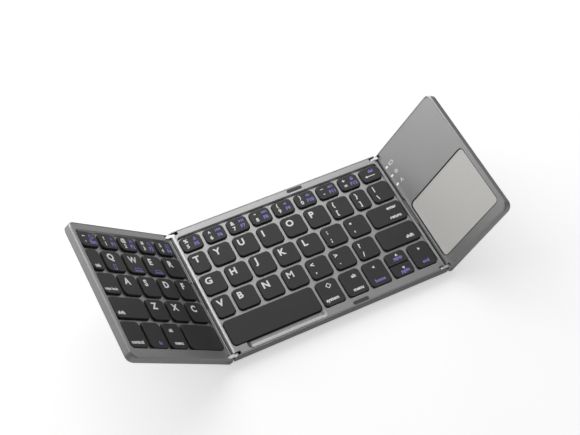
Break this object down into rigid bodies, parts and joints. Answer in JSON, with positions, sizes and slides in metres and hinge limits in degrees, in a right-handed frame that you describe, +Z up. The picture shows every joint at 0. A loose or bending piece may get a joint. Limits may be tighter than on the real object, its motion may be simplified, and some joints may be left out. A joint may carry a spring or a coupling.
{
  "type": "folding keyboard",
  "caption": "Slim pocket keyboard in three hinged metal panels with low square keys, a touchpad on the right wing and rubber feet; both wings fold in over the middle",
  "frame": {"origin": "middle of the centre panel's flat underside, halfway between its hinges and halfway from front to back", "axes": "+X to the right along the row of panels, +Y to the back, +Z up out of the keys"},
  "size_m": [0.2562, 0.098, 0.0621],
  "materials": {
    "panel_metal": "satin grey anodised, bottoms lighter",
    "deck_metal": "satin grey anodised",
    "key_plastic": "fine matte charcoal, white and violet legends",
    "rubber_pads": "matte black",
    "circuit_board": "green solder mask",
    "touchpad_face": "smooth warm grey",
    "light_lens": "frosted white",
    "battery_pouch": "foil pouch",
    "socket_steel": "bright",
    "link_steel": "satin",
    "pin_steel": "dark steel",
    "ribbon_sleeve": "grey sleeve"
  },
  "bodies": {
    "centre": {"centre_base": "panel_metal", "centre_deck": "deck_metal", "centre_switch_board": "circuit_board", "centre_feet": "rubber_pads", "centre_bumpers": "rubber_pads"},
    "left_link": {"left_hinge_links": "link_steel", "left_hinge_pins": "pin_steel", "left_flex_ribbon": "ribbon_sleeve"},
    "left_wing": {"left_base": "panel_metal", "left_deck": "deck_metal", "left_switch_board": "circuit_board", "left_feet": "rubber_pads"},
    "right_link": {"right_hinge_links": "link_steel", "right_hinge_pins": "pin_steel", "right_flex_ribbon": "ribbon_sleeve"},
    "right_wing": {"right_base": "panel_metal", "right_deck": "deck_metal", "touchpad": "touchpad_face", "indicator_lenses": "light_lens", "battery": "battery_pouch", "main_board": "circuit_board", "charging_port": "socket_steel", "right_feet": "rubber_pads"},
    "key_a_cap": {"key_a": "key_plastic"},
    "key_b_cap": {"key_b": "key_plastic"},
    "key_c_cap": {"key_c": "key_plastic"},
    "key_d_cap": {"key_d": "key_plastic"},
    "key_e_cap": {"key_e": "key_plastic"},
    "key_f_cap": {"key_f": "key_plastic"},
    "key_g_cap": {"key_g": "key_plastic"},
    "key_h_cap": {"key_h": "key_plastic"},
    "key_i_cap": {"key_i": "key_plastic"},
    "key_j_cap": {"key_j": "key_plastic"},
    "key_k_cap": {"key_k": "key_plastic"},
    "key_l_cap": {"key_l": "key_plastic"},
    "key_m_cap": {"key_m": "key_plastic"},
    "key_n_cap": {"key_n": "key_plastic"},
    "key_o_cap": {"key_o": "key_plastic"},
    "key_p_cap": {"key_p": "key_plastic"},
    "key_q_cap": {"key_q": "key_plastic"},
    "key_r_cap": {"key_r": "key_plastic"},
    "key_s_cap": {"key_s": "key_plastic"},
    "key_t_cap": {"key_t": "key_plastic"},
    "key_u_cap": {"key_u": "key_plastic"},
    "key_v_cap": {"key_v": "key_plastic"},
    "key_w_cap": {"key_w": "key_plastic"},
    "key_x_cap": {"key_x": "key_plastic"},
    "key_y_cap": {"key_y": "key_plastic"},
    "key_z_cap": {"key_z": "key_plastic"},
    "key_space_left_cap": {"key_space_left": "key_plastic"},
    "key_space_right_cap": {"key_space_right": "key_plastic"},
    "key_enter_cap": {"key_enter": "key_plastic"},
    "key_shift_left_cap": {"key_shift_left": "key_plastic"},
    "key_shift_right_cap": {"key_shift_right": "key_plastic"},
    "keys_number_left_cap": {"keys_number_left": "key_plastic"},
    "keys_number_centre_cap": {"keys_number_centre": "key_plastic"},
    "keys_function_left_cap": {"keys_function_left": "key_plastic"},
    "keys_function_centre_cap": {"keys_function_centre": "key_plastic"},
    "keys_punctuation_cap": {"keys_punctuation": "key_plastic"}
  },
  "joints": [
    {"name": "fold_left_link", "type": "hinge", "parent": "centre", "child": "left_link", "pos_m": [-0.0734, 0, 0.003], "axis": [0, 1, 0], "range_deg": [0, 90]},
    {"name": "fold_left_wing", "type": "hinge", "parent": "left_link", "child": "left_wing", "pos_m": [-0.0799, 0, 0.003], "axis": [0, 1, 0], "range_deg": [-42, 48]},
    {"name": "fold_right_link", "type": "hinge", "parent": "centre", "child": "right_link", "pos_m": [0.0734, 0, 0.003], "axis": [0, -1, 0], "range_deg": [0, 90]},
    {"name": "fold_right_wing", "type": "hinge", "parent": "right_link", "child": "right_wing", "pos_m": [0.0799, 0, 0.003], "axis": [0, -1, 0], "range_deg": [-60, 30]},
    {"name": "press_a", "type": "slide", "parent": "left_wing", "child": "key_a_cap", "axis": [-0.6691, 0, -0.7431], "range_m": [0, 0.0014], "stiffness_N_per_m": 350, "springref_m": -0.0008},
    {"name": "press_b", "type": "slide", "parent": "centre", "child": "key_b_cap", "axis": [0, 0, -1], "range_m": [0, 0.0014], "stiffness_N_per_m": 350, "springref_m": -0.0008},
    {"name": "press_c", "type": "slide", "parent": "left_wing", "child": "key_c_cap", "axis": [-0.6691, 0, -0.7431], "range_m": [0, 0.0014], "stiffness_N_per_m": 350, "springref_m": -0.0008},
    {"name": "press_d", "type": "slide", "parent": "left_wing", "child": "key_d_cap", "axis": [-0.6691, 0, -0.7431], "range_m": [0, 0.0014], "stiffness_N_per_m": 350, "springref_m": -0.0008},
    {"name": "press_e", "type": "slide", "parent": "left_wing", "child": "key_e_cap", "axis": [-0.6691, 0, -0.7431], "range_m": [0, 0.0014], "stiffness_N_per_m": 350, "springref_m": -0.0008},
    {"name": "press_f", "type": "slide", "parent": "left_wing", "child": "key_f_cap", "axis": [-0.6691, 0, -0.7431], "range_m": [0, 0.0014], "stiffness_N_per_m": 350, "springref_m": -0.0008},
    {"name": "press_g", "type": "slide", "parent": "centre", "child": "key_g_cap", "axis": [0, 0, -1], "range_m": [0, 0.0014], "stiffness_N_per_m": 350, "springref_m": -0.0008},
    {"name": "press_h", "type": "slide", "parent": "centre", "child": "key_h_cap", "axis": [0, 0, -1], "range_m": [0, 0.0014], "stiffness_N_per_m": 350, "springref_m": -0.0008},
    {"name": "press_i", "type": "slide", "parent": "centre", "child": "key_i_cap", "axis": [0, 0, -1], "range_m": [0, 0.0014], "stiffness_N_per_m": 350, "springref_m": -0.0008},
    {"name": "press_j", "type": "slide", "parent": "centre", "child": "key_j_cap", "axis": [0, 0, -1], "range_m": [0, 0.0014], "stiffness_N_per_m": 350, "springref_m": -0.0008},
    {"name": "press_k", "type": "slide", "parent": "centre", "child": "key_k_cap", "axis": [0, 0, -1], "range_m": [0, 0.0014], "stiffness_N_per_m": 350, "springref_m": -0.0008},
    {"name": "press_l", "type": "slide", "parent": "centre", "child": "key_l_cap", "axis": [0, 0, -1], "range_m": [0, 0.0014], "stiffness_N_per_m": 350, "springref_m": -0.0008},
    {"name": "press_m", "type": "slide", "parent": "centre", "child": "key_m_cap", "axis": [0, 0, -1], "range_m": [0, 0.0014], "stiffness_N_per_m": 350, "springref_m": -0.0008},
    {"name": "press_n", "type": "slide", "parent": "centre", "child": "key_n_cap", "axis": [0, 0, -1], "range_m": [0, 0.0014], "stiffness_N_per_m": 350, "springref_m": -0.0008},
    {"name": "press_o", "type": "slide", "parent": "centre", "child": "key_o_cap", "axis": [0, 0, -1], "range_m": [0, 0.0014], "stiffness_N_per_m": 350, "springref_m": -0.0008},
    {"name": "press_p", "type": "slide", "parent": "centre", "child": "key_p_cap", "axis": [0, 0, -1], "range_m": [0, 0.0014], "stiffness_N_per_m": 350, "springref_m": -0.0008},
    {"name": "press_q", "type": "slide", "parent": "left_wing", "child": "key_q_cap", "axis": [-0.6691, 0, -0.7431], "range_m": [0, 0.0014], "stiffness_N_per_m": 350, "springref_m": -0.0008},
    {"name": "press_r", "type": "slide", "parent": "left_wing", "child": "key_r_cap", "axis": [-0.6691, 0, -0.7431], "range_m": [0, 0.0014], "stiffness_N_per_m": 350, "springref_m": -0.0008},
    {"name": "press_s", "type": "slide", "parent": "left_wing", "child": "key_s_cap", "axis": [-0.6691, 0, -0.7431], "range_m": [0, 0.0014], "stiffness_N_per_m": 350, "springref_m": -0.0008},
    {"name": "press_t", "type": "slide", "parent": "centre", "child": "key_t_cap", "axis": [0, 0, -1], "range_m": [0, 0.0014], "stiffness_N_per_m": 350, "springref_m": -0.0008},
    {"name": "press_u", "type": "slide", "parent": "centre", "child": "key_u_cap", "axis": [0, 0, -1], "range_m": [0, 0.0014], "stiffness_N_per_m": 350, "springref_m": -0.0008},
    {"name": "press_v", "type": "slide", "parent": "centre", "child": "key_v_cap", "axis": [0, 0, -1], "range_m": [0, 0.0014], "stiffness_N_per_m": 350, "springref_m": -0.0008},
    {"name": "press_w", "type": "slide", "parent": "left_wing", "child": "key_w_cap", "axis": [-0.6691, 0, -0.7431], "range_m": [0, 0.0014], "stiffness_N_per_m": 350, "springref_m": -0.0008},
    {"name": "press_x", "type": "slide", "parent": "left_wing", "child": "key_x_cap", "axis": [-0.6691, 0, -0.7431], "range_m": [0, 0.0014], "stiffness_N_per_m": 350, "springref_m": -0.0008},
    {"name": "press_y", "type": "slide", "parent": "centre", "child": "key_y_cap", "axis": [0, 0, -1], "range_m": [0, 0.0014], "stiffness_N_per_m": 350, "springref_m": -0.0008},
    {"name": "press_z", "type": "slide", "parent": "left_wing", "child": "key_z_cap", "axis": [-0.6691, 0, -0.7431], "range_m": [0, 0.0014], "stiffness_N_per_m": 350, "springref_m": -0.0008},
    {"name": "press_space_left", "type": "slide", "parent": "left_wing", "child": "key_space_left_cap", "axis": [-0.6691, 0, -0.7431], "range_m": [0, 0.0014], "stiffness_N_per_m": 350, "springref_m": -0.0008},
    {"name": "press_space_right", "type": "slide", "parent": "centre", "child": "key_space_right_cap", "axis": [0, 0, -1], "range_m": [0, 0.0014], "stiffness_N_per_m": 350, "springref_m": -0.0008},
    {"name": "press_enter", "type": "slide", "parent": "centre", "child": "key_enter_cap", "axis": [0, 0, -1], "range_m": [0, 0.0014], "stiffness_N_per_m": 350, "springref_m": -0.0008},
    {"name": "press_shift_left", "type": "slide", "parent": "left_wing", "child": "key_shift_left_cap", "axis": [-0.6691, 0, -0.7431], "range_m": [0, 0.0014], "stiffness_N_per_m": 350, "springref_m": -0.0008},
    {"name": "press_shift_right", "type": "slide", "parent": "centre", "child": "key_shift_right_cap", "axis": [0, 0, -1], "range_m": [0, 0.0014], "stiffness_N_per_m": 350, "springref_m": -0.0008},
    {"name": "press_number_left", "type": "slide", "parent": "left_wing", "child": "keys_number_left_cap", "axis": [-0.6691, 0, -0.7431], "range_m": [0, 0.0014], "stiffness_N_per_m": 350, "springref_m": -0.0008},
    {"name": "press_number_centre", "type": "slide", "parent": "centre", "child": "keys_number_centre_cap", "axis": [0, 0, -1], "range_m": [0, 0.0014], "stiffness_N_per_m": 350, "springref_m": -0.0008},
    {"name": "press_function_left", "type": "slide", "parent": "left_wing", "child": "keys_function_left_cap", "axis": [-0.6691, 0, -0.7431], "range_m": [0, 0.0014], "stiffness_N_per_m": 350, "springref_m": -0.0008},
    {"name": "press_function_centre", "type": "slide", "parent": "centre", "child": "keys_function_centre_cap", "axis": [0, 0, -1], "range_m": [0, 0.0014], "stiffness_N_per_m": 350, "springref_m": -0.0008},
    {"name": "press_punctuation", "type": "slide", "parent": "centre", "child": "keys_punctuation_cap", "axis": [0, 0, -1], "range_m": [0, 0.0014], "stiffness_N_per_m": 350, "springref_m": -0.0008}
  ]
}
